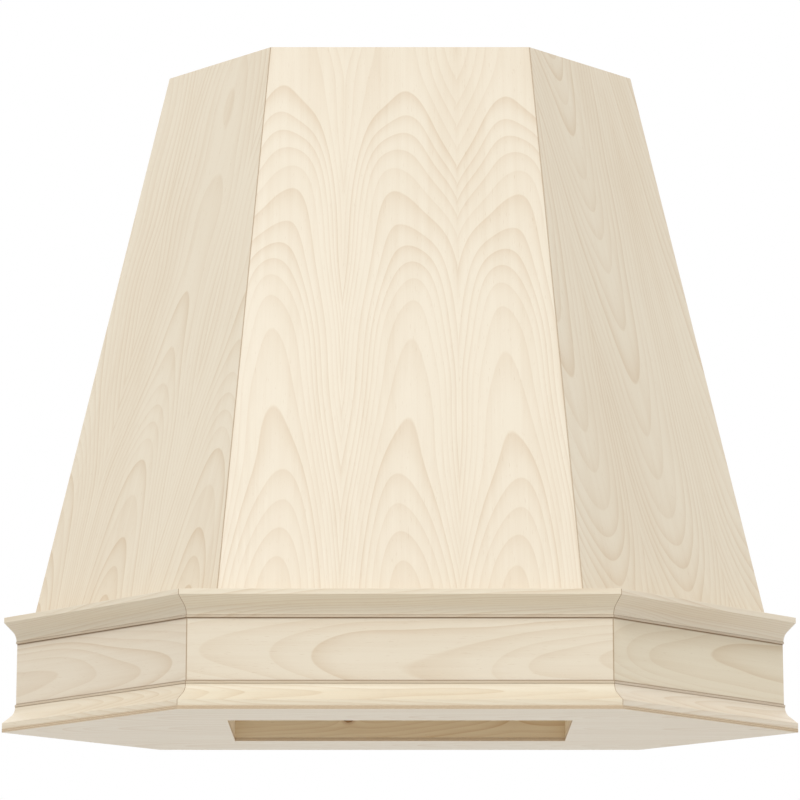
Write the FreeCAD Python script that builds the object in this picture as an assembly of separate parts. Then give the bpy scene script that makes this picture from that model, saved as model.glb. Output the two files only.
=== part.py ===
import FreeCAD, Part
import math
import os

# A wooden cover for a range hood in a room corner. All sizes are in millimetres.
# While the pieces are made, X runs across the front, Y runs from the face of the front
# valance back to the room corner, and Z runs up from the underside. The finished pieces
# are then moved along Y, so that the origin is the bottom centre of the whole cover.
Vector = FreeCAD.Vector
ROOT_2 = math.sqrt(2.0)

# Overall sizes
FRONT_WIDTH = 626.6          # face of the front valance, corner to corner
RETURN_LENGTH = 392.2        # face of a return, corner to wall
DEPTH = 487.0                # front valance's face to the clipped back corner
HEIGHT = 1112.0              # underside to the top edge of the body
BAND_HEIGHT = 177.5          # underside to the top of the crown
BODY_SIDE_INSET = 31.0       # face of a return to the foot of the side panel
TOP_DEPTH = 173.0            # clipped back to the top front edge of the body

# Thicknesses
VALANCE_T = 19.0
BOTTOM_T = 6.0
DECK_T = 19.0
PANEL_T = 19.0
RAIL_T = 19.0                # upright rails and stiles at the walls and the back
CLEAT_T = 19.0               # cleats and top rails against the sloping panels
BEARER_T = 19.0

# Moulding, the same for the crown and, upside down, for the bottom edge
MOULDING_HEIGHT = 38.7
MOULDING_PROJECTION = 26.8
FILLET_HEIGHT = 8.3
COVE_RADIUS = 18.0
EDGE_HEIGHT = 3.4            # thin square edge next to the valance face
EDGE_PROUD = 2.4
QUIRK = 0.8                  # step between the thin edge and the cove

# Ventilator cut-out in the underside
CUTOUT_WIDTH = 514.0
CUTOUT_DEPTH = 260.0
CUTOUT_SETBACK = 108.0       # front valance face to the front edge of the cut-out

# Inner frame
BEARER_HEIGHT = 64.0
CLEAT_HEIGHT = 40.0
TOP_RAIL_HEIGHT = 60.0
WALL_STILE_WIDTH = 60.0
REAR_STILE_WIDTH = 70.0
DECK_LIP = 20.0              # deck inside the cleats, rails and stiles
POST_LEG = 40.0              # reach of a corner post along each panel
POST_DEPTH = 26.0            # depth of a corner post behind the panels
GLUE_BLOCK_LEG = 32.0
GLUE_BLOCK_DEPTH = 20.0
GLUE_BLOCK_GAP = 6.0         # bearers to the blocks above them
SPLINE_T = 4.0
SPLINE_WIDTH = 16.0

# Fasteners
SCREW_R = 2.1
SCREW_HEAD_R = 4.2
SCREW_TIP = 6.0
RECESS_WIDTH = 2.8
RECESS_DEPTH = 2.2
DECK_SCREW_LENGTH = 40.0
BASE_SCREW_LENGTH = 90.0
BEARER_SCREW_LENGTH = 45.0
FRONT_CLEAT_SCREWS = 4
SIDE_CLEAT_SCREWS = 3
BACK_CLEAT_SCREWS = 2
REAR_BASE_SCREWS = 4
SCREW_ROWS = 2               # screws above each other in the end of a bearer or rail
SCREW_MARGIN = 35.0          # end of a cleat to its first screw
ROW_MARGIN = 16.0            # edge of a bearer to its first screw
WALL_HOLE_R = 2.75
WALL_HOLE_SPACING = 200.0

# Sides of a plan, counter-clockwise from the front
FRONT, RIGHT, RIGHT_WALL, REAR, LEFT_WALL, LEFT = range(6)

# Levels and lines worked out from the sizes above. A right-hand side line is named by its
# x - y and a right-hand wall line by its x + y, because both run at 45 degrees.
RETURN_LINE = FRONT_WIDTH / 2
WALL_LINE = RETURN_LINE + ROOT_2 * RETURN_LENGTH
REAR_X = WALL_LINE - DEPTH
TOP_FRONT_Y = DEPTH - TOP_DEPTH
FOOT_LINE = RETURN_LINE - ROOT_2 * BODY_SIDE_INSET
TOP_LINE = REAR_X - DEPTH
DECK_UNDERSIDE = BAND_HEIGHT - DECK_T
BEARER_TOP = BOTTOM_T + BEARER_HEIGHT
CLEAT_TOP = BAND_HEIGHT + CLEAT_HEIGHT
TOP_RAIL_UNDERSIDE = HEIGHT - TOP_RAIL_HEIGHT
BODY_RISE = HEIGHT - BAND_HEIGHT
FRONT_SLANT = math.hypot(1.0, TOP_FRONT_Y / BODY_RISE)
SIDE_SLANT = math.hypot(1.0, (FOOT_LINE - TOP_LINE) / ROOT_2 / BODY_RISE)
ORIGIN_Y = (DEPTH - MOULDING_PROJECTION) / 2
BEYOND = 2 * (WALL_LINE + HEIGHT)       # length that reaches past any piece


# ---- plans and solids ----

def plan(front_y, side_line, wall_line, rear_y):
    """Six corners, counter-clockwise from the front left."""
    front_x = side_line + front_y
    wall_x = (side_line + wall_line) / 2
    wall_y = (wall_line - side_line) / 2
    rear_x = wall_line - rear_y
    right = [(front_x, front_y), (wall_x, wall_y), (rear_x, rear_y)]
    left = [(-x, y) for x, y in right]
    return [left[0], *right, left[2], left[1]]


def band_plan(front=0.0, side=0.0, wall=0.0, rear=0.0):
    """Plan of the band, each side moved inwards by its own amount."""
    return plan(front, RETURN_LINE - ROOT_2 * side, WALL_LINE - ROOT_2 * wall, DEPTH - rear)


def body_plan(z, front=0.0, side=0.0, wall=0.0, rear=0.0):
    """Plan of the body at height z. Front and side are measured square to their panels."""
    risen = (z - BAND_HEIGHT) / BODY_RISE
    front_y = risen * TOP_FRONT_Y + front * FRONT_SLANT
    side_line = FOOT_LINE + risen * (TOP_LINE - FOOT_LINE) - ROOT_2 * side * SIDE_SLANT
    return plan(front_y, side_line, WALL_LINE - ROOT_2 * wall, DEPTH - rear)


def strip(outer, inner, side):
    """Part of a plan between two outlines along one side, mitred at both ends."""
    following = (side + 1) % len(outer)
    return [outer[side], outer[following], inner[following], inner[side]]


def block(low, z_low, high, z_high):
    """Solid with flat faces between a polygon and its like at another height."""
    lower = [Vector(x, y, z_low) for x, y in low]
    upper = [Vector(x, y, z_high) for x, y in high]
    loops = [lower, upper]
    for i in range(len(lower)):
        j = (i + 1) % len(lower)
        loops.append([lower[i], lower[j], upper[j], upper[i]])
    faces = [Part.Face(Part.makePolygon(loop + loop[:1])) for loop in loops]
    solid = Part.Solid(Part.Shell(faces))
    if solid.Volume < 0:
        solid.reverse()
    return solid


def upright(points, z_low, z_high):
    return block(points, z_low, points, z_high)


def body_board(side, z_low, z_high, outer, inner):
    """Board along one side of the body, between two sets of plan offsets."""
    low = strip(body_plan(z_low, **outer), body_plan(z_low, **inner), side)
    high = strip(body_plan(z_high, **outer), body_plan(z_high, **inner), side)
    return block(low, z_low, high, z_high)


def beyond_plane(point, normal):
    """Large block on the far side of a plane, for trimming."""
    box = Part.makeBox(BEYOND, BEYOND, BEYOND, Vector(-BEYOND / 2, -BEYOND / 2, 0))
    box.Placement = FreeCAD.Placement(point, FreeCAD.Rotation(Vector(0, 0, 1), normal))
    return box


def behind(y):
    return beyond_plane(Vector(0, y, HEIGHT / 2), Vector(0, 1, 0))


def outside_side_panel(hand):
    """All that lies outside the inner face of one side panel."""
    foot = body_plan(BAND_HEIGHT, side=PANEL_T)
    top = body_plan(HEIGHT, side=PANEL_T)
    at = Vector(*foot[RIGHT], BAND_HEIGHT)
    along = Vector(*foot[RIGHT_WALL], BAND_HEIGHT) - at
    up = Vector(*top[RIGHT], HEIGHT) - at
    normal = along.cross(up)
    return beyond_plane(Vector(hand * at.x, at.y, at.z), Vector(hand * normal.x, normal.y, normal.z))


def turned(points, hand):
    """Plan points for the right (1) or left (-1) hand."""
    return [(hand * x, y) for x, y in points]


def between(start, end, share):
    return (start[0] + share * (end[0] - start[0]), start[1] + share * (end[1] - start[1]))


def towards(start, end, distance):
    return between(start, end, distance / math.dist(start, end))


def spread(start, end, count, margin):
    """Evenly spaced points from start to end, the outer ones a margin inside."""
    if count == 1:
        return [between(start, end, 0.5)]
    first = towards(start, end, margin)
    last = towards(end, start, margin)
    return [between(first, last, i / (count - 1)) for i in range(count)]


def corner_section(inner, deep, leg):
    """Four-sided section in the right front corner of a plan, with a leg along each board."""
    corner = inner[RIGHT]
    return [corner, towards(corner, inner[RIGHT_WALL], leg), deep[RIGHT],
            towards(corner, inner[FRONT], leg)]


# ---- band ----

def valances():
    outer = band_plan()
    inner = band_plan(front=VALANCE_T, side=VALANCE_T)
    names = {"valance_front": FRONT, "valance_right": RIGHT, "valance_left": LEFT}
    return {name: upright(strip(outer, inner, side), BOTTOM_T, DECK_UNDERSIDE)
            for name, side in names.items()}


def cove_arc():
    """Three points on the cove, from its tangent point to its foot, as reach and distance."""
    foot = (EDGE_PROUD - QUIRK, MOULDING_HEIGHT - EDGE_HEIGHT)
    centre = (foot[0] + COVE_RADIUS, foot[1])
    from_centre = (MOULDING_PROJECTION - centre[0], FILLET_HEIGHT - centre[1])
    bearing = math.atan2(from_centre[1], from_centre[0])
    tangent = bearing - math.acos(COVE_RADIUS / math.hypot(*from_centre))
    half_way = (tangent - math.pi) / 2
    points = [(centre[0] + COVE_RADIUS * math.cos(angle), centre[1] + COVE_RADIUS * math.sin(angle))
              for angle in (tangent, half_way)]
    return [*points, foot]


def moulding_face(place):
    """Section of the moulding. Place turns reach and distance from the outer edge to a point."""
    arc = cove_arc()
    before = [(0, 0), (MOULDING_PROJECTION, 0), (MOULDING_PROJECTION, FILLET_HEIGHT), arc[0]]
    after = [arc[-1], (EDGE_PROUD, arc[-1][1]), (EDGE_PROUD, MOULDING_HEIGHT),
             (0, MOULDING_HEIGHT), (0, 0)]
    edges = [Part.LineSegment(place(*start), place(*end)).toShape()
             for start, end in zip(before, before[1:])]
    edges.append(Part.Arc(*[place(*point) for point in arc]).toShape())
    edges += [Part.LineSegment(place(*start), place(*end)).toShape()
              for start, end in zip(after, after[1:])]
    return Part.Face(Part.Wire(edges))


def moulding(side, z_edge, sense):
    """One length of moulding. It runs from z_edge up (1) or down (-1)."""
    faces = band_plan()
    start = Vector(*faces[side], z_edge)
    along = Vector(*faces[(side + 1) % len(faces)], z_edge) - start
    along.normalize()
    outward = along.cross(Vector(0, 0, 1))
    before_mitre = start - along * MOULDING_PROJECTION

    def place(reach, distance):
        return before_mitre + outward * reach + Vector(0, 0, sense * distance)

    length = moulding_face(place).extrude(along * BEYOND)
    outer = band_plan(front=-MOULDING_PROJECTION, side=-MOULDING_PROJECTION)
    ends = upright(strip(outer, faces, side), 0, HEIGHT)
    return length.common(ends).Solids[0]


def mouldings():
    pieces = {}
    for hand, side in (("front", FRONT), ("right", RIGHT), ("left", LEFT)):
        pieces[f"crown_{hand}"] = moulding(side, BAND_HEIGHT, -1)
        pieces[f"base_moulding_{hand}"] = moulding(side, BOTTOM_T, 1)
    return pieces


def bottom_panel():
    outline = band_plan(front=-MOULDING_PROJECTION, side=-MOULDING_PROJECTION)
    corner = Vector(-CUTOUT_WIDTH / 2, CUTOUT_SETBACK, 0)
    cutout = Part.makeBox(CUTOUT_WIDTH, CUTOUT_DEPTH, BOTTOM_T, corner)
    return {"bottom_panel": upright(outline, 0, BOTTOM_T).cut(cutout)}


def top_deck():
    against_panel = PANEL_T + CLEAT_T + DECK_LIP
    opening = body_plan(BAND_HEIGHT, front=against_panel, side=against_panel,
                        wall=RAIL_T + DECK_LIP, rear=RAIL_T + DECK_LIP)
    deck = upright(band_plan(), DECK_UNDERSIDE, BAND_HEIGHT)
    return {"top_deck": deck.cut(upright(opening, DECK_UNDERSIDE, BAND_HEIGHT))}


def band_rails():
    """Rails on the two walls and across the clipped corner, mitred where they meet."""
    outer = band_plan(side=VALANCE_T)
    inner = band_plan(side=VALANCE_T, wall=RAIL_T, rear=RAIL_T)
    names = {"wall_rail_right": RIGHT_WALL, "rear_rail": REAR, "wall_rail_left": LEFT_WALL}
    return {name: upright(strip(outer, inner, side), BOTTOM_T, DECK_UNDERSIDE)
            for name, side in names.items()}


def wall_holes(hand):
    """Screw holes through one wall rail, square to the wall."""
    rail = band_plan(side=VALANCE_T)
    middle = between(rail[RIGHT_WALL], rail[REAR], 0.5)
    z = (BOTTOM_T + DECK_UNDERSIDE) / 2
    holes = []
    for end in (RIGHT_WALL, REAR):
        x, y = towards(middle, rail[end], WALL_HOLE_SPACING / 2)
        into = Vector(-hand, -1, 0).normalize()
        holes.append(Part.makeCylinder(WALL_HOLE_R, RAIL_T, Vector(hand * x, y, z), into))
    return holes


def bearers():
    """Joists from the front valance to the rear rail, one each side of the cut-out."""
    depth = DEPTH - RAIL_T - VALANCE_T
    left_faces = {"bearer_right": CUTOUT_WIDTH / 2, "bearer_left": -CUTOUT_WIDTH / 2 - BEARER_T}
    return {name: Part.makeBox(BEARER_T, depth, BEARER_HEIGHT, Vector(x, VALANCE_T, BOTTOM_T))
            for name, x in left_faces.items()}


def cutout_rails():
    front_faces = {"cutout_rail_front": CUTOUT_SETBACK - BEARER_T,
                   "cutout_rail_rear": CUTOUT_SETBACK + CUTOUT_DEPTH}
    return {name: Part.makeBox(CUTOUT_WIDTH, BEARER_T, BEARER_HEIGHT,
                               Vector(-CUTOUT_WIDTH / 2, y, BOTTOM_T))
            for name, y in front_faces.items()}


def splines():
    """Strip of hardwood across each valance mitre."""
    outer = band_plan()[RIGHT]
    inner = band_plan(front=VALANCE_T, side=VALANCE_T)[RIGHT]
    middle = between(outer, inner, 0.5)
    length = math.dist(outer, inner)
    mitre = ((inner[0] - outer[0]) / length, (inner[1] - outer[1]) / length)
    points = []
    for across, through in ((-1, -1), (1, -1), (1, 1), (-1, 1)):
        a = across * SPLINE_WIDTH / 2
        t = through * SPLINE_T / 2
        points.append((middle[0] + a * mitre[1] + t * mitre[0],
                       middle[1] - a * mitre[0] + t * mitre[1]))
    return [upright(turned(points, hand), BOTTOM_T, DECK_UNDERSIDE) for hand in (1, -1)]


def glue_blocks():
    """Blocks above the bearers, in the inner corners of the valances."""
    inner = band_plan(front=VALANCE_T, side=VALANCE_T)
    deep = band_plan(front=VALANCE_T + GLUE_BLOCK_DEPTH, side=VALANCE_T + GLUE_BLOCK_DEPTH)
    section = corner_section(inner, deep, GLUE_BLOCK_LEG)
    return [upright(turned(section, hand), BEARER_TOP + GLUE_BLOCK_GAP, DECK_UNDERSIDE)
            for hand in (1, -1)]


# ---- body ----

def body_panels():
    outer = {}
    inner = {"front": PANEL_T, "side": PANEL_T}
    names = {"front_panel": FRONT, "side_panel_right": RIGHT, "side_panel_left": LEFT}
    return {name: body_board(side, BAND_HEIGHT, HEIGHT, outer, inner).cut(behind(DEPTH))
            for name, side in names.items()}


def corner_posts():
    """Post behind each arris, from the cleats up to the top rails."""
    sections = []
    for z in (CLEAT_TOP, TOP_RAIL_UNDERSIDE):
        inner = body_plan(z, front=PANEL_T, side=PANEL_T)
        deep = body_plan(z, front=PANEL_T + POST_DEPTH, side=PANEL_T + POST_DEPTH)
        sections.append(corner_section(inner, deep, POST_LEG))
    low, high = sections
    return {f"corner_post_{name}": block(turned(low, hand), CLEAT_TOP,
                                         turned(high, hand), TOP_RAIL_UNDERSIDE)
            for name, hand in (("right", 1), ("left", -1))}


def panel_boards(prefix, z_low, z_high):
    """Boards against the inner faces of the three panels, mitred at the arrises."""
    outer = {"front": PANEL_T, "side": PANEL_T, "wall": RAIL_T}
    inner = {"front": PANEL_T + CLEAT_T, "side": PANEL_T + CLEAT_T, "wall": RAIL_T}
    names = {"front": FRONT, "right": RIGHT, "left": LEFT}
    return {f"{prefix}_{name}": body_board(side, z_low, z_high, outer, inner).cut(behind(DEPTH - RAIL_T))
            for name, side in names.items()}


def wall_stiles():
    """Sloping stile on each wall, behind the edge of the side panel."""
    offsets = [(PANEL_T, 0), (PANEL_T, RAIL_T), (PANEL_T + WALL_STILE_WIDTH, RAIL_T),
               (PANEL_T + WALL_STILE_WIDTH, 0)]
    low, high = [[body_plan(z, side=side, wall=wall)[RIGHT_WALL] for side, wall in offsets]
                 for z in (BAND_HEIGHT, TOP_RAIL_UNDERSIDE)]
    return {f"wall_stile_{name}": block(turned(low, hand), BAND_HEIGHT, turned(high, hand),
                                        TOP_RAIL_UNDERSIDE).cut(behind(DEPTH - RAIL_T))
            for name, hand in (("right", 1), ("left", -1))}


def rear_stiles():
    """Upright stile at each end of the clipped corner, its outer edge on the wall."""
    outer = band_plan()[REAR]
    inner = band_plan(rear=RAIL_T)[REAR]
    edge_x = outer[0] - REAR_STILE_WIDTH
    section = [outer, (edge_x, outer[1]), (edge_x, inner[1]), inner]
    return {f"rear_stile_{name}": upright(turned(section, hand), BAND_HEIGHT,
                                          HEIGHT).cut(outside_side_panel(hand))
            for name, hand in (("right", 1), ("left", -1))}


def rear_rails():
    """Rails between the two rear stiles, on the deck and at the top."""
    width = 2 * (REAR_X - REAR_STILE_WIDTH)
    corner = Vector(-width / 2, DEPTH - RAIL_T, 0)
    low = Part.makeBox(width, RAIL_T, CLEAT_HEIGHT, corner + Vector(0, 0, BAND_HEIGHT))
    high = Part.makeBox(width, RAIL_T, TOP_RAIL_HEIGHT, corner + Vector(0, 0, TOP_RAIL_UNDERSIDE))
    return {"rear_base_rail": low, "top_rail_rear": high}


def back_cleat_plan(z, wall):
    """Inner and outer corner of a back cleat's ends, on the line at a distance from the wall."""
    at_stile = body_plan(z, side=PANEL_T + WALL_STILE_WIDTH, wall=wall)[RIGHT_WALL]
    at_rear = band_plan(wall=wall, rear=RAIL_T)[REAR]
    return at_stile, at_rear


def back_cleats():
    """Cleat on the deck along each wall, from the wall stile to the rear stile."""
    sections = []
    for z in (BAND_HEIGHT, CLEAT_TOP):
        outer_start, outer_end = back_cleat_plan(z, 0)
        inner_start, inner_end = back_cleat_plan(z, RAIL_T)
        sections.append([outer_start, outer_end, inner_end, inner_start])
    low, high = sections
    return {f"back_cleat_{name}": block(turned(low, hand), BAND_HEIGHT, turned(high, hand), CLEAT_TOP)
            for name, hand in (("right", 1), ("left", -1))}


# ---- screws ----

def screw_body(length):
    """Countersunk screw without its recess, head at the origin, pointing down."""
    neck = SCREW_HEAD_R - SCREW_R
    outline = [(0, 0), (SCREW_HEAD_R, 0), (SCREW_R, -neck), (SCREW_R, SCREW_TIP - length),
               (0, -length), (0, 0)]
    face = Part.Face(Part.makePolygon([Vector(r, 0, z) for r, z in outline]))
    return face.revolve(Vector(0, 0, 0), Vector(0, 0, 1), 360)


def screw(length):
    corner = Vector(-RECESS_WIDTH / 2, -RECESS_WIDTH / 2, -RECESS_DEPTH)
    recess = Part.makeBox(RECESS_WIDTH, RECESS_WIDTH, RECESS_DEPTH, corner)
    return screw_body(length).cut(recess)


def driven(shape, seats):
    """Copies of a screw, one at each head place, pointing the way it is driven."""
    copies = []
    for head, way in seats:
        copy = shape.copy()
        copy.Placement = FreeCAD.Placement(head, FreeCAD.Rotation(Vector(0, 0, -1), way))
        copies.append(copy)
    return copies


def deck_seats():
    """Up through the deck into the cleats behind the panels."""
    z_middle = BAND_HEIGHT + (DECK_SCREW_LENGTH - DECK_T) / 2
    middle = PANEL_T + CLEAT_T / 2
    cleats = body_plan(z_middle, front=middle, side=middle, wall=RAIL_T)
    places = spread(cleats[FRONT], cleats[RIGHT], FRONT_CLEAT_SCREWS, SCREW_MARGIN)
    side = spread(cleats[RIGHT], cleats[RIGHT_WALL], SIDE_CLEAT_SCREWS, SCREW_MARGIN)
    places += side + turned(side, -1)
    return [(Vector(x, y, DECK_UNDERSIDE), Vector(0, 0, 1)) for x, y in places]


def base_seats():
    """Down through the cleats and rail at the back, and the deck, into the rails below."""
    wall = spread(*back_cleat_plan(CLEAT_TOP, RAIL_T / 2), BACK_CLEAT_SCREWS, SCREW_MARGIN)
    end_x = REAR_X - REAR_STILE_WIDTH
    y = DEPTH - RAIL_T / 2
    places = wall + turned(wall, -1) + spread((-end_x, y), (end_x, y), REAR_BASE_SCREWS, SCREW_MARGIN)
    return [(Vector(x, y, CLEAT_TOP), Vector(0, 0, -1)) for x, y in places]


def screw_heights():
    rows = spread((0, BOTTOM_T), (0, BEARER_TOP), SCREW_ROWS, ROW_MARGIN)
    return [z for _, z in rows]


def bearer_seats():
    """Forward through the rear rail into the ends of the bearers."""
    x = (CUTOUT_WIDTH + BEARER_T) / 2
    return [(Vector(hand * x, DEPTH, z), Vector(0, -1, 0))
            for hand in (1, -1) for z in screw_heights()]


def cutout_seats():
    """Sideways through the bearers into the ends of the cut-out rails."""
    x = CUTOUT_WIDTH / 2 + BEARER_T
    rows = (CUTOUT_SETBACK - BEARER_T / 2, CUTOUT_SETBACK + CUTOUT_DEPTH + BEARER_T / 2)
    return [(Vector(hand * x, y, z), Vector(-hand, 0, 0))
            for hand in (1, -1) for y in rows for z in screw_heights()]


def screw_groups():
    """Each group's name, screw length, seats and the pieces that it passes through."""
    return [
        ("deck_screws", DECK_SCREW_LENGTH, deck_seats(),
         ["top_deck", "base_cleat_front", "base_cleat_right", "base_cleat_left"]),
        ("base_screws", BASE_SCREW_LENGTH, base_seats(),
         ["back_cleat_right", "back_cleat_left", "rear_base_rail", "top_deck",
          "wall_rail_right", "wall_rail_left", "rear_rail"]),
        ("bearer_screws", BEARER_SCREW_LENGTH, bearer_seats(),
         ["rear_rail", "bearer_right", "bearer_left"]),
        ("cutout_screws", BEARER_SCREW_LENGTH, cutout_seats(),
         ["bearer_right", "bearer_left", "cutout_rail_front", "cutout_rail_rear"]),
    ]


# ---- assembly ----

def assemble():
    """Every node's name with the solids that it holds."""
    pieces = {}
    for made in (valances(), mouldings(), bottom_panel(), top_deck(), band_rails(), bearers(),
                 cutout_rails(), body_panels(), corner_posts(),
                 panel_boards("base_cleat", BAND_HEIGHT, CLEAT_TOP),
                 panel_boards("top_rail", TOP_RAIL_UNDERSIDE, HEIGHT),
                 wall_stiles(), rear_stiles(), rear_rails(), back_cleats()):
        pieces.update(made)
    for name in ("valance_front", "valance_right", "valance_left"):
        pieces[name] = pieces[name].cut(splines())
    pieces["wall_rail_right"] = pieces["wall_rail_right"].cut(wall_holes(1))
    pieces["wall_rail_left"] = pieces["wall_rail_left"].cut(wall_holes(-1))
    groups = {"valance_splines": splines(), "glue_blocks": glue_blocks()}
    for name, length, seats, through in screw_groups():
        holes = driven(screw_body(length), seats)
        for piece in through:
            pieces[piece] = pieces[piece].cut(holes)
        groups[name] = driven(screw(length), seats)
    nodes = {name: shape.Solids for name, shape in pieces.items()}
    nodes.update(groups)
    return nodes


def save(name, solids):
    shape = Part.makeCompound(solids) if len(solids) > 1 else solids[0]
    shape.translate(Vector(0, -ORIGIN_Y, 0))
    shape.exportStep(f"parts/{name}.step")


os.makedirs("parts", exist_ok=True)
for node, solids in assemble().items():
    save(node, solids)
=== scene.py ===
import math
import random

import bpy
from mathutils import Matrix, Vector


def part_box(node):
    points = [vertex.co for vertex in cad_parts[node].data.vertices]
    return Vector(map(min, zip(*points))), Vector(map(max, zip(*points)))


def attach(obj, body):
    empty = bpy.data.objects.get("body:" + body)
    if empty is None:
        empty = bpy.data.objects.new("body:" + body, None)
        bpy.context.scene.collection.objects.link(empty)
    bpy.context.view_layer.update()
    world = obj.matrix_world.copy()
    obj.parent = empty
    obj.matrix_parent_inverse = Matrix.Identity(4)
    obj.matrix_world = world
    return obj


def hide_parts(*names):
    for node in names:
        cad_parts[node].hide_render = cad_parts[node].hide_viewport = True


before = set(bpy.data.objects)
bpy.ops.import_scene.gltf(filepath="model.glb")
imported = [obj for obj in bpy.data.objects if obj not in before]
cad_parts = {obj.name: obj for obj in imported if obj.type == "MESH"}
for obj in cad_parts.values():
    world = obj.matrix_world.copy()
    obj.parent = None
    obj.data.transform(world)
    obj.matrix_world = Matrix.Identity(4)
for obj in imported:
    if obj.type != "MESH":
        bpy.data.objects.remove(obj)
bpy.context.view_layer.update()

# A wooden cover for a range hood in a room corner, in metres. X runs across the front, Y runs
# from the front towards the room corner and Z runs up from the underside.
AXES = tuple(Vector(axis) for axis in ((1, 0, 0), (0, 1, 0), (0, 0, 1)))
X_AXIS, _, Z_AXIS = AXES

# Places this close are one, and a board's long faces lean less than this against the grain
SAME_PLACE = 0.00001
LONG_FACE_LEAN = 0.2

# Moulding section, in the sizes of the solids
MOULDING_HEIGHT = 0.0387
MOULDING_PROJECTION = 0.0268
FILLET_HEIGHT = 0.0083
COVE_RADIUS = 0.018
EDGE_HEIGHT = 0.0034
EDGE_PROUD = 0.0024
QUIRK = 0.0008
COVE_STEPS = 18
RETURN_TURN = math.radians(45)

# Eased edges: radius on the mouldings, length at their ends, and width on the other pieces
MOULDING_EASE = 0.0006
CORNER_STEPS = 4
END_EASE = 0.0005
EASES = {"board": 0.0009, "sheet": 0.0008, "frame": 0.0014, "screw": 0.00025}
EASE_SEGMENTS = 3
EASE_ANGLE = math.radians(32)
FLAT_ANGLE = math.radians(0.5)

# Plywood
PANEL_THICKNESS = 0.019
PANEL_PLIES = 13
SHEET_PLIES = {"bottom_panel": 5, "top_deck": 13}

# Pieces by the way they are dressed: with the mouldings, all but the softwood frame
VALANCES = ("valance_front", "valance_left", "valance_right")
BODY_PANELS = ("front_panel", "side_panel_left", "side_panel_right")
SPLINES = "valance_splines"
SCREWS_SUFFIX = "screws"

# Mouldings: the corner of its box that the outer edge is at, and the way from there along Z
MOULDINGS = {"crown": (1, -1), "base_moulding": (0, 1)}

# Photograph's viewpoint: below the cover, on its middle line
CAMERA_Y = -5.6148
CAMERA_Z = -0.6811
CAMERA_PITCH = math.radians(12.0177)
CAMERA_REACH = 1000.0
FOCAL_PIXELS = 3701.2
IMAGE_PIXELS = 800
SENSOR_WIDTH = 36.0


def rgb(red, green, blue):
    """Opaque colour."""
    return (red, green, blue, 1.0)


# Floor and sky: what the camera sees of them and how they light the cover. The sky brightens
# from its low to its high strength between two heights of the direction looked in.
WHITE = rgb(1.0, 1.0, 1.0)
FLOOR_Z = -1.70
FLOOR_SIZE = 400.0
FLOOR_SEEN = rgb(0.92, 0.92, 0.92)
FLOOR_LIT = rgb(0.62, 0.61, 0.59)
SKY_LOW = 0.38
SKY_HIGH = 0.66
SKY_RISE = (-0.4, 0.7)

# Lamps: direction of the light, strength, width in degrees, and whether gloss mirrors them
LAMPS = {"key": ((0.16, 0.72, -0.76), 1.25, 20, True),
         "fill": ((-0.30, 0.90, 0.10), 0.30, 60, True),
         "back": ((0.10, -0.80, -0.50), 1.1, 60, False)}

# Woods. "pale", "deep" and "end" colour the early wood, the late wood and the end grain. "ring"
# is the width of a year, and "ring_strength" how much its late wood shows. The pith lies
# "pith" behind the board and "offset" aside, leans by "tilt" and wanders by "drift". "fibre"
# and "cloud" are how uneven the colour is, and "knots" is the most that a board has.
MAPLE = {"pale": rgb(0.86, 0.77, 0.62), "deep": rgb(0.69, 0.54, 0.37), "end": rgb(0.62, 0.47, 0.30),
         "ring": 0.0046, "ring_strength": 0.66, "pith": 0.085, "tilt": 0.06, "drift": 0.036,
         "fibre": 0.13, "cloud": 0.14, "roughness": 0.42, "coat": 0.06, "knots": 0, "offset": 0.0}
STRAIGHT_MAPLE = {**MAPLE, "offset": 0.080}
PINE = {"pale": rgb(0.82, 0.69, 0.49), "deep": rgb(0.61, 0.41, 0.21), "end": rgb(0.61, 0.46, 0.30),
        "ring": 0.0042, "ring_strength": 0.75, "pith": 0.060, "tilt": 0.03, "drift": 0.030,
        "fibre": 0.17, "cloud": 0.12, "roughness": 0.62, "coat": 0.0, "knots": 2, "offset": 0.0}
BEECH = {"pale": rgb(0.62, 0.40, 0.24), "deep": rgb(0.48, 0.29, 0.16), "end": rgb(0.42, 0.25, 0.14),
         "ring": 0.0030, "ring_strength": 0.45, "pith": 0.050, "tilt": 0.03, "drift": 0.020,
         "fibre": 0.15, "cloud": 0.10, "roughness": 0.55, "coat": 0.0, "knots": 0, "offset": 0.0}

# How far the boards of one wood differ: their place in the log, aside and away from the pith,
# their brightness and their warmth
BOARD_SHIFT = 0.02
BOARD_DEPTHS = (-0.01, 0.03)
BOARD_TONES = (0.95, 1.03)
BOARD_WARMTH = 0.03

# Ramps, here and below, say where they start and end and, unless they go from 0 to 1, their
# levels there. A noise lies mostly in its range, and each material's start at most this far off.
NOISE_MIDDLE = 0.5
NOISE_RANGE = (0.3, 0.7)
SEED_SPREAD = 50.0

# Noises: features per metre along, across and through the board, or per year of the rings
WANDER = (1.3, 3.0, 3.0)
FIBRES = (12.0, 620.0, 620.0)
STREAKS = (2.2, 90.0, 90.0)
CLOUDS = (2.5, 14.0, 14.0)
FLECKS = (70.0, 900.0, 900.0)
RAGS = (260.0, 260.0, 60.0)
PLY_FIBRES = (160.0, 160.0, 1400.0)
YEARS = (0.21, 1.0, 1.0)

# Growth rings: how uneven the years are, how sharply the late wood darkens, how it fades again
# at the end of the year, and how much the faintest year shows
RING_UNEVEN = 2.6
LATE_SHARPNESS = 2.4
LATE_FADE = (1.0, 0.93)
FAINTEST_YEAR = 0.35

# Shade: the noise's level that leaves the colour as it is, how strongly fibres, streaks and
# clouds change it, and how flecks and end grain darken it
EVEN_SHADE = 0.45
FIBRE_CONTRAST = 2.0
STREAK_CONTRAST = 3.2
CLOUD_CONTRAST = 4.0
FLECK_SHADE = (0.68, 0.78, 0.0, 0.35)
END_SHADE = (0.45, 0.95, 0.0, 0.75)

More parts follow.
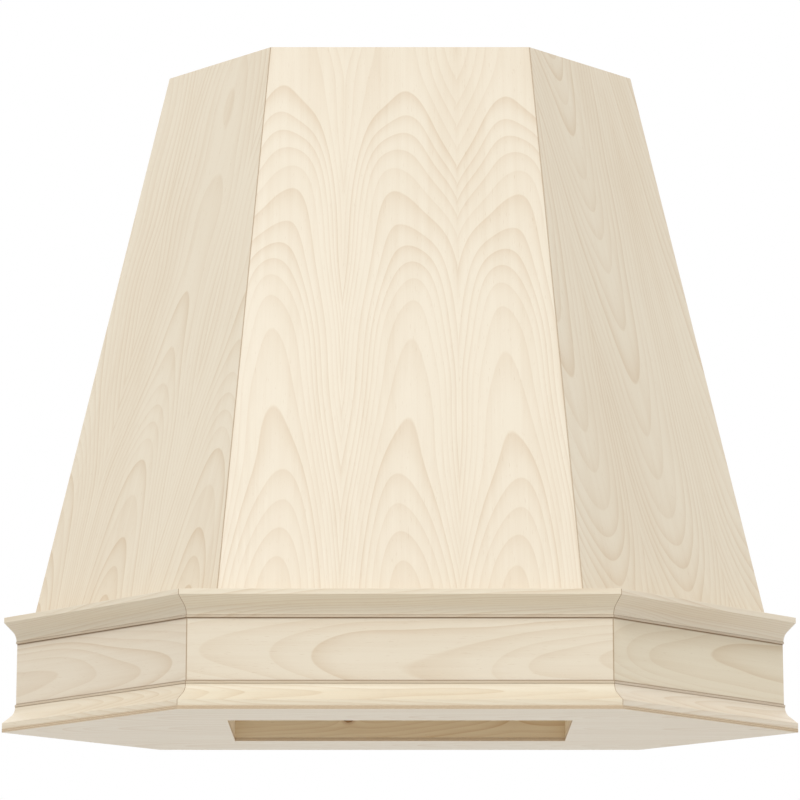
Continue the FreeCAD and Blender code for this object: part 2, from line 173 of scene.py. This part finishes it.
# Clear finish: how its roughness changes with the fibres, and its gloss
ROUGHNESS_CHANGE = (-0.04, 0.06)
COAT_ROUGHNESS = 0.25
SPECULAR_LEVEL = 0.35

# Knots: the board's length for each, its place along that length, how far aside it lies at
# most, in widths of the board, its radius, and its width for its length
KNOT_SPACING = 0.30
KNOT_ALONG = (0.25, 0.75)
KNOT_ASIDE = 0.3
KNOT_RADII = (0.0045, 0.0085)
KNOT_NARROWNESS = 0.75

# Their push on the rings: how it fades with the distance in radii, the radius that pushes
# them by one year, and the distance where there is no knot
KNOT_FADE = -0.42
KNOT_PUSH = 0.0022
NO_KNOT = 10.0

# Their look: how ragged they are, their own years and the shade of these, the halo around
# them, their edge, and how far the rim lies inside it, starts and reaches, all in radii
KNOT_RAGGED = 0.35
KNOT_YEARS = 4.0
KNOT_YEAR_SHADE = (0.2, 0.9, 0.1, 0.8)
KNOT_HALO = (2.1, 1.0, 0.0, 0.55)
KNOT_EDGE = (1.06, 0.94)
KNOT_RIM_INSET = 0.02
KNOT_RIM_EDGE = (0.86, 0.98)
KNOT_RIM_REACH = (1.3, 1.2)
KNOT_RIM = rgb(0.22, 0.11, 0.05)
KNOT_HEART = rgb(0.46, 0.25, 0.11)

# Glaze and painted shade at the joints: glaze in the mitres, and painted shade beside the
# mouldings, along the panels' foot and in the mouldings' quirk and lip. How squarely the surface
# faces out where it shows, its width at a mitre (also along the panels' foot) and beside a
# moulding, and how much of it the quirk and the edges of the moulding's lip get
# Dark colour multiplied in: glaze at the mitres, painted shade in the corners and the quirk
GLAZE_AND_SHADE = rgb(0.40, 0.29, 0.20)
GLAZE_AND_SHADE_FACING = (0.5, 0.8)
MITRE_GLAZE_AND_SHADE = 0.0016
MOULDING_GLAZE_AND_SHADE = 0.0028
QUIRK_GLAZE_AND_SHADE = 0.8
EDGE_GLAZE_AND_SHADE = 0.35

# Veneer: width of a leaf, leaves from the first seam to the middle of a sheet, where the heart
# of the log lies across a leaf, depth between one leaf and the next in the log, the tones of
# the leaves, and how the plies take over as the surface turns away from the face
VENEER_LEAF = 0.178
LEAVES_ASIDE = 40.5
LEAF_HEART = (0.4, 0.6)
LEAF_DEPTH = 0.0007
LEAF_TONES = (0.965, 1.025)
EDGE_FACING = (0.55, 0.8, 1.0, 0.0)

# Plies: how much the fibres darken them, and how the glue fades, in plies from a joint
PLY_LIGHT = rgb(0.78, 0.64, 0.45)
PLY_DARK = rgb(0.54, 0.40, 0.26)
PLY_GLUE = rgb(0.27, 0.17, 0.10)
PLY_FIBRE_SHADE = 0.45
GLUE_FADE = (0.0, 0.09, 0.7, 0.0)

# Zinc plating
ZINC_BRIGHT = rgb(0.54, 0.54, 0.52)
ZINC_DULL = rgb(0.40, 0.40, 0.39)
ZINC_PATCHES = (260.0, 260.0, 260.0)
ZINC_MARKS = (2600.0, 2600.0, 400.0)
ZINC_ROUGHNESS = (0.28, 0.45)

# Mix node: its sockets for the factor and both colours, and for the mixed colour
MIX_SOCKETS = (0, 6, 7)
MIX_RESULT = 2


# ---- node trees ----

class Shader:
    """The node tree of a material or world, with short calls for the nodes used here."""

    def __init__(self, owner, seed=(0.0, 0.0, 0.0)):
        self.owner = owner
        self.seed = seed
        owner.use_nodes = True
        self.tree = owner.node_tree
        self.tree.nodes.clear()

    def feed(self, socket, value):
        """Links a socket to another one's output, or sets its value."""
        if isinstance(value, bpy.types.NodeSocket):
            self.tree.links.new(value, socket)
        else:
            socket.default_value = value

    def node(self, kind, inputs=None, **settings):
        """New node, with its settings made and its inputs fed."""
        made = self.tree.nodes.new("ShaderNode" + kind)
        for name, value in settings.items():
            setattr(made, name, value)
        for key, value in (inputs or {}).items():
            self.feed(made.inputs[key], value)
        return made

    def math(self, operation, *values):
        return self.node("Math", dict(enumerate(values)), operation=operation).outputs[0]

    def vector_math(self, operation, *values):
        made = self.node("VectorMath", dict(enumerate(values)), operation=operation)
        return made.outputs["Value" if operation in ("DOT_PRODUCT", "LENGTH") else "Vector"]

    def dot(self, first, second):
        return self.vector_math("DOT_PRODUCT", first, second)

    def combine(self, x, y, z):
        return self.node("CombineXYZ", {"X": x, "Y": y, "Z": z}).outputs[0]

    def noise(self, at, stretch, detail=2.0, roughness=0.5):
        """Noise with so many features per metre along, across and through the board."""
        scaled = self.vector_math("MULTIPLY_ADD", at, stretch, self.seed)
        inputs = {"Vector": scaled, "Scale": 1.0, "Detail": detail, "Roughness": roughness}
        return self.node("TexNoise", inputs)

    def random(self, number):
        """A value of its own for each whole number, 0 to 1."""
        return self.node("TexWhiteNoise", {"W": number}, noise_dimensions="1D").outputs[0]

    def between(self, value, low, high, to_low=0.0, to_high=1.0):
        """Goes smoothly from one level to another as the value goes from low to high."""
        inputs = {"Value": value, "From Min": low, "From Max": high,
                  "To Min": to_low, "To Max": to_high}
        made = self.node("MapRange", inputs, clamp=True, interpolation_type="SMOOTHSTEP")
        return made.outputs[0]

    def mix(self, factor, first, second, blend="MIX"):
        """Two colours mixed, or one blended over the other."""
        inputs = dict(zip(MIX_SOCKETS, (factor, first, second)))
        made = self.node("Mix", inputs, data_type="RGBA", blend_type=blend, clamp_factor=True)
        return made.outputs[MIX_RESULT]

    def facing(self, axis):
        """How squarely the surface faces along an axis, 0 to 1."""
        normal = self.node("TexCoord").outputs["Normal"]
        return self.math("ABSOLUTE", self.dot(normal, axis))

    def along_axes(self, place, axes):
        """The three parts of a place along three axes."""
        return (self.dot(place, axis) for axis in axes)

    def finish(self, colour, roughness, height, bump=0.3, bump_depth=0.0002, **uniform):
        """Ends the material with its surface, and returns it."""
        relief = {"Height": height, "Strength": bump, "Distance": bump_depth}
        inputs = {"Base Color": colour, "Roughness": roughness,
                  "Normal": self.node("Bump", relief).outputs[0]}
        inputs.update(uniform)
        surface = self.node("BsdfPrincipled", inputs)
        self.node("OutputMaterial", {"Surface": surface.outputs[0]})
        return self.owner


def new_shader(name, draw):
    """Empty material, whose noises start at a place of their own."""
    seed = tuple(draw.uniform(-SEED_SPREAD, SEED_SPREAD) for _ in range(3))
    return Shader(bpy.data.materials.new(name), seed)


# ---- woods ----

def knot_field(shader, at, knots):
    """Swell of the rings around the knots, and distance to the nearest in its radii."""
    swell, nearest = 0.0, NO_KNOT
    for along, across, radius in knots:
        off = shader.vector_math("SUBTRACT", at, (along, across, 0.0))
        off = shader.vector_math("MULTIPLY", off, (KNOT_NARROWNESS / radius, 1.0 / radius, 0.0))
        distance = shader.vector_math("LENGTH", off)
        fade = shader.math("MULTIPLY", distance, KNOT_FADE)
        bulge = shader.math("MULTIPLY", shader.math("EXPONENT", fade), radius / KNOT_PUSH)
        swell = shader.math("ADD", swell, bulge)
        nearest = shader.math("MINIMUM", nearest, distance)
    return swell, nearest


def knotted(shader, colour, at, nearest):
    """Paints the knots: a dark rim and their own tight rings inside it."""
    ragged = shader.math("SUBTRACT", shader.noise(at, RAGS).outputs[0], NOISE_MIDDLE)
    edge = shader.math("MULTIPLY_ADD", ragged, KNOT_RAGGED, nearest)
    year = shader.math("FRACT", shader.math("MULTIPLY", edge, KNOT_YEARS))
    heart = shader.mix(shader.between(year, *KNOT_YEAR_SHADE), KNOT_HEART, KNOT_RIM)
    colour = shader.mix(shader.between(edge, *KNOT_HALO), colour, KNOT_HEART)
    colour = shader.mix(shader.between(edge, *KNOT_EDGE), colour, heart)
    rim = shader.math("PINGPONG", shader.math("ADD", edge, KNOT_RIM_INSET), 1.0)
    rim = shader.between(rim, *KNOT_RIM_EDGE)
    rim = shader.math("MULTIPLY", rim, shader.between(edge, *KNOT_RIM_REACH))
    return shader.mix(rim, colour, KNOT_RIM)


def rings(shader, at, wood, turn, swell):
    """Growth rings about a pith behind the board, as strength of the late wood, 0 to 1."""
    wander = shader.noise(at, WANDER).outputs["Color"]
    wander = shader.vector_math("SUBTRACT", wander, (NOISE_MIDDLE, NOISE_MIDDLE, NOISE_MIDDLE))
    wander = shader.vector_math("MULTIPLY", wander, (0.0, 2 * wood["drift"], 2 * wood["drift"]))
    bent = shader.vector_math("ADD", at, wander)
    along, across, through = shader.along_axes(bent, AXES)
    depth = shader.math("MULTIPLY_ADD", along, wood["tilt"] * turn, wood["pith"])
    section = shader.combine(0.0, across, shader.math("ADD", through, depth))
    radius = shader.math("DIVIDE", shader.vector_math("LENGTH", section), wood["ring"])
    uneven = shader.noise(shader.combine(radius, 0.0, 0.0), YEARS, detail=1.0).outputs[0]
    count = shader.math("MULTIPLY_ADD", uneven, RING_UNEVEN, radius)
    count = shader.math("ADD", count, swell)
    phase = shader.math("FRACT", count)
    late = shader.math("POWER", phase, LATE_SHARPNESS)
    late = shader.math("MULTIPLY", late, shader.between(phase, *LATE_FADE))
    year = shader.random(shader.math("FLOOR", count))
    return shader.math("MULTIPLY", late, shader.between(year, 0.0, 1.0, FAINTEST_YEAR, 1.0))


def wood_colour(shader, at, wood, turn, knots=()):
    """Colour and surface height of the wood in board axes."""
    swell, nearest = knot_field(shader, at, knots)
    late = rings(shader, at, wood, turn, swell)
    fibre = shader.noise(at, FIBRES, detail=4.0, roughness=0.68).outputs[0]
    streak = shader.noise(at, STREAKS, detail=3.0, roughness=0.55).outputs[0]
    cloud = shader.noise(at, CLOUDS).outputs[0]
    deep = shader.math("MULTIPLY", late, wood["ring_strength"])
    shares = ((fibre, wood["fibre"] * FIBRE_CONTRAST), (streak, wood["fibre"] * STREAK_CONTRAST),
              (cloud, wood["cloud"] * CLOUD_CONTRAST))
    for part, share in shares:
        darker = shader.math("SUBTRACT", part, EVEN_SHADE)
        deep = shader.math("MULTIPLY_ADD", darker, share, deep)
    deep = shader.math("MAXIMUM", deep, 0.0)
    colour = shader.mix(deep, wood["pale"], wood["deep"])
    fleck = shader.noise(at, FLECKS, detail=1.0).outputs[0]
    colour = shader.mix(shader.between(fleck, *FLECK_SHADE), colour, wood["end"])
    if knots:
        colour = knotted(shader, colour, at, nearest)
    return colour, fibre


def glaze_and_shade_lines(shader, colour, face, joints):
    """Darker lines beside a face's joints: glaze at mitres, painted shade at mouldings and foot."""
    place = shader.node("TexCoord").outputs["Object"]
    left = 0.0
    for point, direction, width in joints:
        off = shader.vector_math("SUBTRACT", place, point)
        off = shader.vector_math("LENGTH", shader.vector_math("CROSS_PRODUCT", off, direction))
        left = shader.math("MAXIMUM", left, shader.between(off, width, 0.0))
    on_face = shader.between(shader.facing(face), *GLAZE_AND_SHADE_FACING)
    left = shader.math("MULTIPLY", left, on_face)
    # Painted shade in the corners beside the mouldings and along the foot, and glaze at the mitres
    return shader.mix(left, colour, GLAZE_AND_SHADE, "MULTIPLY")


def end_grain(shader, colour, grain, wood):
    """Darker where the surface cuts across the fibres."""
    cut = shader.between(shader.facing(grain), *END_SHADE)
    return shader.mix(cut, colour, wood["end"], "MULTIPLY")


def board_axes(shader, grain, face, middle):
    """Position along, across and through the board, from its middle."""
    place = shader.vector_math("SUBTRACT", shader.node("TexCoord").outputs["Object"], middle)
    return shader.combine(*shader.along_axes(place, (grain, face.cross(grain), face)))


def lacquered(shader, colour, fibre, wood):
    """Clear finish over the wood, a little rougher where the fibres stand up."""
    levels = (wood["roughness"] + change for change in ROUGHNESS_CHANGE)
    roughness = shader.between(fibre, *NOISE_RANGE, *levels)
    uniform = {"Coat Weight": wood["coat"], "Coat Roughness": COAT_ROUGHNESS,
               "Specular IOR Level": SPECULAR_LEVEL}
    return shader.finish(colour, roughness, fibre, **uniform)


def knot_places(draw, wood, shift, size):
    """A few knots, spread over the board."""
    length, width = size
    count = min(wood["knots"], round(length / KNOT_SPACING))
    return [(length * ((i + draw.uniform(*KNOT_ALONG)) / count - 0.5),
             width * draw.uniform(-KNOT_ASIDE, KNOT_ASIDE) + shift, draw.uniform(*KNOT_RADII))
            for i in range(count)]


def solid_wood(name, wood, grain, face, middle, size=(0.0, 0.0), joints=(), crease_glaze_and_shade=False):
    """Solid timber, with its own cut from the log for each board."""
    draw = random.Random(name)
    shader = new_shader(name + "_wood", draw)
    at = board_axes(shader, grain, face, middle)
    shift = wood["offset"] + draw.uniform(-BOARD_SHIFT, BOARD_SHIFT)
    at = shader.vector_math("ADD", at, (0.0, shift, draw.uniform(*BOARD_DEPTHS)))
    turn = draw.choice((-1, 1))
    colour, fibre = wood_colour(shader, at, wood, turn, knot_places(draw, wood, shift, size))
    tone = draw.uniform(*BOARD_TONES)
    warmth = draw.uniform(-BOARD_WARMTH, BOARD_WARMTH)
    colour = shader.mix(1.0, colour, rgb(tone, tone, tone * (1 + warmth)), "MULTIPLY")
    colour = end_grain(shader, colour, grain, wood)
    # Glaze at the mitres and painted shade in the corners beside the joints
    if joints:
        colour = glaze_and_shade_lines(shader, colour, face, joints)
    # Painted shade in the moulding's quirk, on its lip and where it meets the valance, and glaze at
    # its mitred ends
    if crease_glaze_and_shade:
        crease_glaze_and_shade_level = shader.node("Attribute", attribute_name="crease_glaze_and_shade").outputs["Fac"]
        colour = shader.mix(crease_glaze_and_shade_level, colour, GLAZE_AND_SHADE, "MULTIPLY")
    return lacquered(shader, colour, fibre, wood)


def ply_edge(shader, at, through, thickness, plies):
    """Light and dark plies on a cut edge, with glue between them."""
    ply = shader.math("DIVIDE", shader.math("ADD", through, thickness / 2), thickness / plies)
    odd = shader.math("MODULO", shader.math("FLOOR", ply), 2.0)
    fibre = shader.noise(at, PLY_FIBRES).outputs[0]
    edge = shader.mix(odd, PLY_LIGHT, PLY_DARK)
    fibre_shade = shader.between(fibre, *NOISE_RANGE, 0.0, PLY_FIBRE_SHADE)
    edge = shader.mix(fibre_shade, edge, PLY_DARK)
    to_glue = shader.math("PINGPONG", ply, 0.5)
    return shader.mix(shader.between(to_glue, *GLUE_FADE), edge, PLY_GLUE)


def veneered(name, grain, face, middle, thickness, plies, joints=()):
    """Plywood: book-matched maple on both faces, and its plies on the edges."""
    draw = random.Random(name)
    shader = new_shader(name + "_ply", draw)
    at = board_axes(shader, grain, face, middle)
    along, across, through = shader.along_axes(at, AXES)
    from_seam = shader.math("ADD", across, LEAVES_ASIDE * VENEER_LEAF)
    leaf = shader.math("FLOOR", shader.math("DIVIDE", from_seam, VENEER_LEAF))
    folded = shader.math("PINGPONG", from_seam, VENEER_LEAF)
    folded = shader.math("SUBTRACT", folded, VENEER_LEAF * draw.uniform(*LEAF_HEART))
    depth = shader.math("MULTIPLY", leaf, LEAF_DEPTH)
    depth = shader.math("ADD", depth, draw.uniform(*BOARD_DEPTHS))
    face_at = shader.combine(along, folded, depth)
    colour, fibre = wood_colour(shader, face_at, MAPLE, draw.choice((-1, 1)))
    tone = shader.between(shader.random(leaf), 0.0, 1.0, *LEAF_TONES)
    colour = shader.mix(1.0, colour, shader.combine(tone, tone, tone), "MULTIPLY")
    edge = ply_edge(shader, at, through, thickness, plies)
    colour = shader.mix(shader.between(shader.facing(face), *EDGE_FACING), colour, edge)
    # Glaze at the mitres and painted shade along the foot
    if joints:
        colour = glaze_and_shade_lines(shader, colour, face, joints)
    return lacquered(shader, colour, fibre, MAPLE)


def plated_steel(name, draw):
    """Bright zinc plating, a little uneven, with fine marks from driving."""
    shader = new_shader(name + "_zinc", draw)
    at = shader.node("TexCoord").outputs["Object"]
    patch = shader.noise(at, ZINC_PATCHES, detail=3.0).outputs[0]
    marks = shader.noise(at, ZINC_MARKS).outputs[0]
    colour = shader.mix(shader.between(patch, *NOISE_RANGE), ZINC_BRIGHT, ZINC_DULL)
    roughness = shader.between(marks, *NOISE_RANGE, *ZINC_ROUGHNESS)
    return shader.finish(colour, roughness, marks, bump=0.15, bump_depth=0.00005, Metallic=1.0)


# ---- boards ----

def face_borders(mesh):
    """Edges between one flat or round face of the solid and the next."""
    uses = {}
    for polygon in mesh.polygons:
        for key in polygon.edge_keys:
            uses[key] = uses.get(key, 0) + 1
    return [key for key, count in uses.items() if count == 1]


def length_axis(mesh):
    """Direction of the longest straight edge of the board."""
    spans = [mesh.vertices[b].co - mesh.vertices[a].co for a, b in face_borders(mesh)]
    return max(spans, key=lambda span: span.length).normalized()


def widest_face(mesh, grain=Vector()):
    """Normal of the board's widest face, among those that follow the grain if it is given."""
    areas = {}
    for polygon in mesh.polygons:
        normal = polygon.normal
        if abs(normal.dot(grain)) < LONG_FACE_LEAN:
            key = tuple(round(abs(value), 2) for value in normal)
            area, _ = areas.get(key, (0.0, None))
            areas[key] = (area + polygon.area, normal.copy())
    _, widest = max(areas.values(), key=lambda entry: entry[0])
    return widest


def face_axis(mesh, grain):
    """Direction square to the grain and to the board's widest face."""
    widest = widest_face(mesh, grain)
    return (widest - grain * widest.dot(grain)).normalized()


def up_the_slope(mesh):
    """Direction of steepest rise in the plane of the widest face."""
    widest = widest_face(mesh).normalized()
    return (Z_AXIS - widest * widest.z).normalized()


def middle_of(node):
    """Middle of a node's box."""
    low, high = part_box(node)
    return (Vector(low) + Vector(high)) / 2


def reach(mesh, axis):
    """Length of a board along an axis."""
    places = [vertex.co.dot(axis) for vertex in mesh.vertices]
    return max(places) - min(places)


def outer_corner(places, level, side):
    """The foremost of the places at a level, and of these the outermost on one side."""
    at_level = [place for place in places if abs(place.z - level) < SAME_PLACE]
    return min(at_level, key=lambda place: (round(place.y / SAME_PLACE), -side * place.x)).copy()


def front_corners(node):
    """The mitres at both outer corners of a front board, as point, direction and glaze width."""
    places = [vertex.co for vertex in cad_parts[node].data.vertices]
    levels = (min(place.z for place in places), max(place.z for place in places))
    lines = []
    for side in (-1, 1):
        foot, top = (outer_corner(places, level, side) for level in levels)
        lines.append((foot, (top - foot).normalized(), MITRE_GLAZE_AND_SHADE))
    return lines


def dress(node, material):
    """Gives a node one material all over."""
    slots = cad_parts[node].material_slots
    for slot in slots:
        slot.material = material


def ease(node, width):
    """Rounds the sharp edges of a board a little, as sandpaper does."""
    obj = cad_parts[node]
    weld = obj.modifiers.new("weld", "WELD")
    weld.merge_threshold = SAME_PLACE
    flatten = obj.modifiers.new("flatten", "DECIMATE")
    flatten.decimate_type = "DISSOLVE"
    flatten.angle_limit = FLAT_ANGLE
    bevel = obj.modifiers.new("ease", "BEVEL")
    bevel.width = width
    bevel.segments = EASE_SEGMENTS
    bevel.limit_method = "ANGLE"
    bevel.angle_limit = EASE_ANGLE
    bevel.use_clamp_overlap = True
    normals = obj.modifiers.new("normals", "WEIGHTED_NORMAL")
    normals.keep_sharp = True


# ---- mouldings ----

def corner_arc(before, corner, after, radius):
    """Points of an arc that rounds a corner of a section."""
    corner = Vector(corner)
    back = (Vector(before) - corner).normalized()
    ahead = (Vector(after) - corner).normalized()
    half = back.angle(ahead) / 2
    centre = corner + (back + ahead).normalized() * radius / math.sin(half)
    start = corner + back * radius / math.tan(half) - centre
    end = corner + ahead * radius / math.tan(half) - centre
    turns = [step / CORNER_STEPS for step in range(CORNER_STEPS + 1)]
    return [centre + radius * start.slerp(end, turn) for turn in turns]


def cove():
    """Points on the hollow, as reach from the valance and distance from the outer edge."""
    foot = (EDGE_PROUD - QUIRK, MOULDING_HEIGHT - EDGE_HEIGHT)
    centre = Vector((foot[0] + COVE_RADIUS, foot[1]))
    out = Vector((MOULDING_PROJECTION, FILLET_HEIGHT)) - centre
    tangent = math.atan2(out.y, out.x) - math.acos(COVE_RADIUS / out.length)
    angles = [tangent + (-math.pi - tangent) * step / COVE_STEPS for step in range(COVE_STEPS + 1)]
    return [centre + COVE_RADIUS * Vector((math.cos(angle), math.sin(angle))) for angle in angles]


def moulding_section():
    """Closed outline of the moulding, edges eased, and painted shade at its quirk, lip and joints.
    """
    hollow = cove()
    inner = hollow[-1]
    corners = [(0, 0), (MOULDING_PROJECTION, 0), (MOULDING_PROJECTION, FILLET_HEIGHT), hollow[0]]
    lip = [inner, (EDGE_PROUD, inner.y), (EDGE_PROUD, MOULDING_HEIGHT), (0, MOULDING_HEIGHT)]
    clean = [Vector(corners[0])]
    clean += corner_arc(*corners[0:3], MOULDING_EASE)
    clean += corner_arc(*corners[1:4], MOULDING_EASE)
    clean += hollow[:-1]
    edge = corner_arc(*lip[0:3], QUIRK / 2)
    outer = corner_arc(*lip[1:4], MOULDING_EASE)
    # Painted shade levels: full in the quirk and where the moulding meets the valance, less on the
    # lip's edges
    parts = ((clean, 0.0), ([inner], 1.0), (edge[:1], QUIRK_GLAZE_AND_SHADE),
             (edge[1:] + outer[:-1], EDGE_GLAZE_AND_SHADE), (outer[-1:], 1.0), ([Vector(lip[3])], 1.0))
    return [(point, glaze_and_shade_levels) for points, glaze_and_shade_levels in parts for point in points]


def moulding_vertices(section, start, end, outward, z_edge, sense, mitres):
    """The section four times: at both ends a little smaller, and close to both ends."""
    along = (end - start).normalized()
    easing = along * END_EASE
    slope = math.tan(RETURN_TURN / 2)
    rows = ((start, mitres[0], -1, END_EASE), (start + easing, mitres[0], -1, 0.0),
            (end - easing, mitres[1], 1, 0.0), (end, mitres[1], 1, END_EASE))
    vertices = []
    for base, mitred, direction, inset in rows:
        for i, point in enumerate(section):
            before, after = section[i - 1], section[(i + 1) % len(section)]
            tangent = (after - before).normalized()
            inward = Vector((-tangent.y, tangent.x))
            proud, distance = point + inward * inset
            shift = direction * (proud * slope if mitred else 0.0)
            rise = Z_AXIS * (z_edge + sense * distance)
            vertices.append(base + outward * proud + along * shift + rise)
    return vertices


def moulding_mesh(name, start, end, outward, z_edge, sense, mitres):
    """One length of moulding, between mitres or up to a wall."""
    section, glaze_and_shade_levels = zip(*moulding_section())
    vertices = moulding_vertices(section, start, end, outward, z_edge, sense, mitres)
    size = len(section)
    spans = len(vertices) // size - 1
    faces = [tuple(range(size)), tuple(reversed(range(spans * size, len(vertices))))]
    for row in range(spans):
        for i in range(size):
            j = (i + 1) % size
            low, high = row * size, (row + 1) * size
            faces.append((low + j, low + i, high + i, high + j))
    mesh = bpy.data.meshes.new(name)
    mesh.from_pydata(vertices, [], faces)
    if sense < 0:
        mesh.flip_normals()
    mesh.shade_smooth()
    mesh.set_sharp_from_angle(angle=EASE_ANGLE)
    # Painted shade and glaze levels on the points; the mitred ends get glaze all over
    ends = [1.0 if mitred else value for mitred in mitres for value in glaze_and_shade_levels]
    crease_glaze_and_shade = ends[:size] + list(glaze_and_shade_levels) * (spans - 1) + ends[size:]
    mesh.attributes.new("crease_glaze_and_shade", "FLOAT", "POINT").data.foreach_set("value", crease_glaze_and_shade)
    return mesh


def moulding_runs():
    """Foot line of the moulding along each valance, from start to end, and which are mitred."""
    low, high = (Vector(corner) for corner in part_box("valance_front"))
    side_high = Vector(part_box("valance_right")[1])
    front_left = Vector((low.x, low.y, 0))
    front_right = Vector((high.x, low.y, 0))
    wall_right = Vector((side_high.x, low.y + side_high.x - high.x, 0))
    wall_left = Vector((-wall_right.x, wall_right.y, 0))
    return {"front": (front_left, front_right, (True, True)),
            "right": (front_right, wall_right, (True, False)),
            "left": (wall_left, front_left, (False, True))}


def mouldings():
    """The crown and the base moulding, around the front and both returns."""
    for prefix, (edge, sense) in MOULDINGS.items():
        for side, (start, end, mitres) in moulding_runs().items():
            node = f"{prefix}_{side}"
            z_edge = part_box(node)[edge][2]
            grain = (end - start).normalized()
            outward = grain.cross(Z_AXIS)
            name = node + "_run"
            mesh = moulding_mesh(name, start, end, outward, z_edge, sense, mitres)
            piece = bpy.data.objects.new(name, mesh)
            bpy.context.collection.objects.link(piece)
            normals = piece.modifiers.new("normals", "WEIGHTED_NORMAL")
            normals.keep_sharp = True
            middle = (start + end) / 2 + Z_AXIS * z_edge
            wood = solid_wood(node, STRAIGHT_MAPLE, grain, outward, middle, crease_glaze_and_shade=True)
            mesh.materials.append(wood)
            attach(piece, "root")
            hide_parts(node)


# ---- pieces and their finishes ----

def valances():
    """Solid maple, with glaze in the mitres and painted shade beside the mouldings."""
    corners = front_corners("valance_front")
    levels = (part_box("base_moulding_front")[1][2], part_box("crown_front")[0][2])
    for node, (corner, *_) in zip(VALANCES, (corners[0], *corners)):
        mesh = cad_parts[node].data
        grain = length_axis(mesh)
        face = face_axis(mesh, grain)
        joints = list(corners)
        # Lines at the mouldings' levels: painted shade in the corners beside them, with glaze
        for level in levels:
            joints.append((Vector((corner.x, corner.y, level)), grain, MOULDING_GLAZE_AND_SHADE))
        dress(node, solid_wood(node, MAPLE, grain, face, middle_of(node), joints=joints))
        ease(node, EASES["board"])


def body_panels():
    """Veneered plywood, with glaze in the mitres and painted shade along the foot."""
    corners = front_corners("front_panel")
    for node, (foot, *_) in zip(BODY_PANELS, (corners[0], *corners)):
        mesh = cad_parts[node].data
        grain = up_the_slope(mesh)
        face = face_axis(mesh, grain)
        # The line along the foot is painted shade; the mitre lines are glaze
        joints = corners + [(foot, face.cross(grain), MITRE_GLAZE_AND_SHADE)]
        wood = veneered(node, grain, face, middle_of(node), PANEL_THICKNESS, PANEL_PLIES, joints)
        dress(node, wood)
        ease(node, EASES["sheet"])


def level_sheets():
    """The bottom panel and the deck on top of the band."""
    for node, plies in SHEET_PLIES.items():
        low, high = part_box(node)
        dress(node, veneered(node, X_AXIS, Z_AXIS, middle_of(node), high[2] - low[2], plies))
        ease(node, EASES["sheet"])


def screws():
    """Zinc-plated, each kind with its own patches and marks."""
    draw = random.Random(0)
    for node in sorted(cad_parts):
        if node.endswith(SCREWS_SUFFIX):
            dress(node, plated_steel(node, draw))
            ease(node, EASES["screw"])


def splines():
    """Darker hardwood in the mitres of the valances."""
    dress(SPLINES, solid_wood(SPLINES, BEECH, Z_AXIS, X_AXIS, middle_of(SPLINES)))


def softwood_frame():
    """Knotty boards: all that the other functions leave."""
    dressed = (*VALANCES, *BODY_PANELS, *SHEET_PLIES, SPLINES, *MOULDINGS)
    for node, obj in sorted(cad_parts.items()):
        if not node.startswith(dressed) and not node.endswith(SCREWS_SUFFIX):
            grain = length_axis(obj.data)
            face = face_axis(obj.data, grain)
            size = (reach(obj.data, grain), reach(obj.data, face.cross(grain)))
            dress(node, solid_wood(node, PINE, grain, face, middle_of(node), size))
            ease(node, EASES["frame"])


# ---- studio ----

def pale_floor():
    """Floor that shows only from above, pale to the camera and duller to the cover."""
    mesh = bpy.data.meshes.new("floor")
    half = FLOOR_SIZE / 2
    corners = ((-half, -half), (half, -half), (half, half), (-half, half))
    mesh.from_pydata([(x, y, FLOOR_Z) for x, y in corners], [], [(0, 1, 2, 3)])
    floor = bpy.data.objects.new("floor", mesh)
    bpy.context.collection.objects.link(floor)
    shader = Shader(bpy.data.materials.new("floor"))
    path = shader.node("LightPath").outputs
    seen = shader.math("MAXIMUM", path["Is Camera Ray"], path["Is Glossy Ray"])
    colour = shader.mix(seen, FLOOR_LIT, FLOOR_SEEN)
    diffuse = shader.node("BsdfDiffuse", {"Color": colour}).outputs[0]
    clear = shader.node("BsdfTransparent").outputs[0]
    back = shader.node("NewGeometry").outputs["Backfacing"]
    surface = shader.node("MixShader", {0: back, 1: diffuse, 2: clear}).outputs[0]
    shader.node("OutputMaterial", {"Surface": surface})
    mesh.materials.append(shader.owner)


def daylight():
    """Even light from all round, white where the camera or a gloss sees it."""
    world = bpy.data.worlds.new("world")
    bpy.context.scene.world = world
    shader = Shader(world)
    up = shader.dot(shader.node("TexCoord").outputs["Generated"], Z_AXIS)
    strength = shader.between(up, *SKY_RISE, SKY_LOW, SKY_HIGH)
    light = shader.node("Background", {"Color": WHITE, "Strength": strength}).outputs[0]
    white = shader.node("Background", {"Color": WHITE}).outputs[0]
    path = shader.node("LightPath").outputs
    seen = shader.math("MAXIMUM", path["Is Camera Ray"], path["Is Glossy Ray"])
    seen = shader.math("MAXIMUM", seen, path["Is Transmission Ray"])
    surface = shader.node("MixShader", {0: seen, 1: light, 2: white}).outputs[0]
    shader.node("OutputWorld", {"Surface": surface})


def lamps():
    """Distant soft lamps."""
    for name, (towards, strength, width, mirrored) in LAMPS.items():
        data = bpy.data.lights.new(name, "SUN")
        data.energy = strength
        data.angle = math.radians(width)
        obj = bpy.data.objects.new(name, data)
        obj.rotation_euler = Vector(towards).to_track_quat("-Z", "Y").to_euler()
        obj.visible_glossy = mirrored
        bpy.context.collection.objects.link(obj)


def camera():
    """The photograph's camera."""
    data = bpy.data.cameras.new("camera")
    data.sensor_width = SENSOR_WIDTH
    data.lens = FOCAL_PIXELS / IMAGE_PIXELS * SENSOR_WIDTH
    data.clip_end = CAMERA_REACH
    obj = bpy.data.objects.new("camera", data)
    obj.location = (0.0, CAMERA_Y, CAMERA_Z)
    obj.rotation_euler = (math.pi / 2 + CAMERA_PITCH, 0.0, 0.0)
    bpy.context.collection.objects.link(obj)
    bpy.context.scene.camera = obj


mouldings()
valances()
body_panels()
level_sheets()
screws()
splines()
softwood_frame()
pale_floor()
daylight()
lamps()
camera()
bpy.context.scene.view_settings.view_transform = "Standard"
